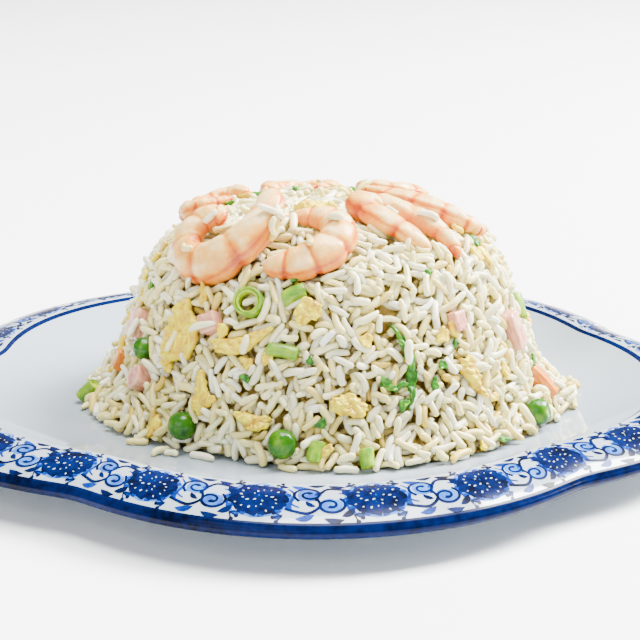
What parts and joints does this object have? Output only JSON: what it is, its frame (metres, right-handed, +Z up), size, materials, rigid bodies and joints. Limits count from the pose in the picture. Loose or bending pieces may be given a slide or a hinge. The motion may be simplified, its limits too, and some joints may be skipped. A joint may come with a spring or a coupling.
{
  "type": "fried rice on a plate",
  "caption": "Dome of fried rice with curled shrimps, egg, peas, scallion and ham, on a lobed blue-and-white porcelain plate.",
  "frame": {"origin": "centre of the plate's bounding rectangle, on the table under its foot ring", "axes": "+Z up out of the plate, -Y towards the middle of one lobe of the rim, +X to its right"},
  "size_m": [0.2564, 0.2554, 0.0806],
  "materials": {
    "porcelain": "white glaze with cobalt blue scrollwork on the rim",
    "rice": "moist cooked long-grain rice, slightly oily",
    "shrimp": "cooked peeled shrimp, pale with orange seams, moist",
    "pea": "cooked green pea, smooth and moist",
    "egg": "scrambled egg, soft and slightly oily",
    "scallion": "sliced green onion, wet",
    "leaf": "wilted green onion leaf, wet",
    "ham": "diced cooked ham",
    "carrot": "diced cooked carrot"
  },
  "bodies": {
    "root": {"plate": "porcelain", "rice_heap": "rice", "shrimp_front_left": "shrimp", "shrimp_front": "shrimp", "shrimp_front_right": "shrimp", "shrimp_back_right": "shrimp", "shrimp_far_right": "shrimp", "shrimp_back": "shrimp", "shrimp_back_left": "shrimp", "pea_1": "pea", "pea_2": "pea", "pea_3": "pea", "pea_4": "pea", "pea_5": "pea", "pea_6": "pea", "pea_7": "pea", "pea_8": "pea", "pea_9": "pea", "pea_10": "pea", "egg_1": "egg", "egg_2": "egg", "egg_3": "egg", "egg_4": "egg", "egg_5": "egg", "egg_6": "egg", "egg_7": "egg", "egg_8": "egg", "egg_9": "egg", "egg_10": "egg", "egg_11": "egg", "egg_12": "egg", "egg_13": "egg", "leaf_1": "leaf", "leaf_2": "leaf", "scallion_1": "scallion", "scallion_2": "scallion", "scallion_3": "scallion", "scallion_4": "scallion", "scallion_5": "scallion", "scallion_6": "scallion", "scallion_7": "scallion", "scallion_8": "scallion", "scallion_9": "scallion", "scallion_10": "scallion", "scallion_11": "scallion", "ham_1": "ham", "ham_2": "ham", "ham_3": "ham", "ham_4": "ham", "ham_5": "ham", "ham_6": "ham", "ham_7": "ham", "ham_8": "ham", "carrot_1": "carrot", "carrot_2": "carrot", "carrot_3": "carrot", "carrot_4": "carrot"}
  },
  "joints": []
}
